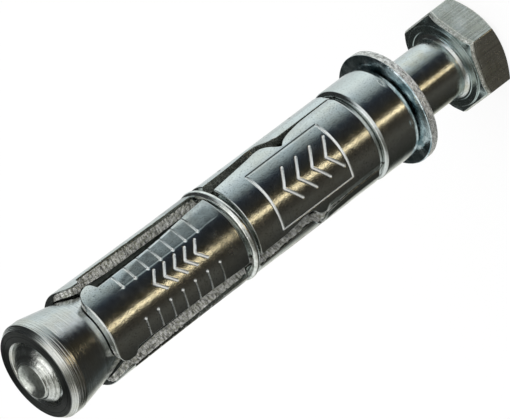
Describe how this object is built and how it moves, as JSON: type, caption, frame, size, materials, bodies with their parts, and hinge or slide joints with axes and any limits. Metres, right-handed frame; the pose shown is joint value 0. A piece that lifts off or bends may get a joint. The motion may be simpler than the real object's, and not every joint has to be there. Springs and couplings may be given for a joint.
{
  "type": "shield anchor",
  "caption": "Zinc-plated steel shield anchor: hexagon bolt with loose washer, ferrule, pressed expansion segments held by a wire ring, and a conical nut that spreads them.",
  "frame": {"origin": "centre of the bolt head's outer face, which the anchor stands on", "axes": "+Z along the bolt, from the head to the cone nut; the middle of segment_1 faces -Y"},
  "size_m": [0.0298, 0.0298, 0.147],
  "materials": {
    "bolt_zinc": "bright zinc plating on forged steel",
    "washer_zinc": "bright zinc plating with a blue tinge, sheared rim",
    "ferrule_zinc": "bright zinc plating on drawn steel",
    "segment_zinc": "bright zinc plating on pressed steel, rough sheared edges",
    "ring_zinc": "bright zinc plating on spring wire",
    "nut_zinc": "bright zinc plating on turned steel"
  },
  "bodies": {
    "ferrule": {"ferrule": "ferrule_zinc", "ring_clip": "ring_zinc"},
    "bolt": {"hex_bolt": "bolt_zinc"},
    "washer": {"washer": "washer_zinc"},
    "nut": {"cone_nut": "nut_zinc"},
    "segment_1": {"segment_1": "segment_zinc"},
    "segment_2": {"segment_2": "segment_zinc"},
    "segment_3": {"segment_3": "segment_zinc"}
  },
  "joints": [
    {"name": "bolt_turn", "type": "hinge", "parent": "ferrule", "child": "bolt", "pos_m": [0, 0, 0.01], "axis": [0, 0, 1], "range_deg": [0, 1440]},
    {"name": "washer_slide", "type": "slide", "parent": "bolt", "child": "washer", "axis": [0, 0, -1], "range_m": [0, 0.0174]},
    {"name": "nut_draw", "type": "slide", "parent": "ferrule", "child": "nut", "axis": [0, 0, -1], "range_m": [0, 0.0081]},
    {"name": "segment_1_spread", "type": "hinge", "parent": "ferrule", "child": "segment_1", "pos_m": [0, -0.0105, 0.042], "axis": [1, 0, 0], "range_deg": [0, 1.41], "deforming": ["ring_clip"]},
    {"name": "segment_2_spread", "type": "hinge", "parent": "ferrule", "child": "segment_2", "pos_m": [-0.00909, 0.00525, 0.042], "axis": [-0.5, -0.866, 0], "range_deg": [0, 1.41]},
    {"name": "segment_3_spread", "type": "hinge", "parent": "ferrule", "child": "segment_3", "pos_m": [0.00909, 0.00525, 0.042], "axis": [-0.5, 0.866, 0], "range_deg": [0, 1.41]}
  ],
  "couplings": [
    {"joint": "nut_draw", "follows": "bolt_turn", "m_per_rad": 0.00031831},
    {"joint": "segment_1_spread", "follows": "bolt_turn", "ratio": 0.00097222},
    {"joint": "segment_2_spread", "follows": "bolt_turn", "ratio": 0.00097222},
    {"joint": "segment_3_spread", "follows": "bolt_turn", "ratio": 0.00097222}
  ]
}
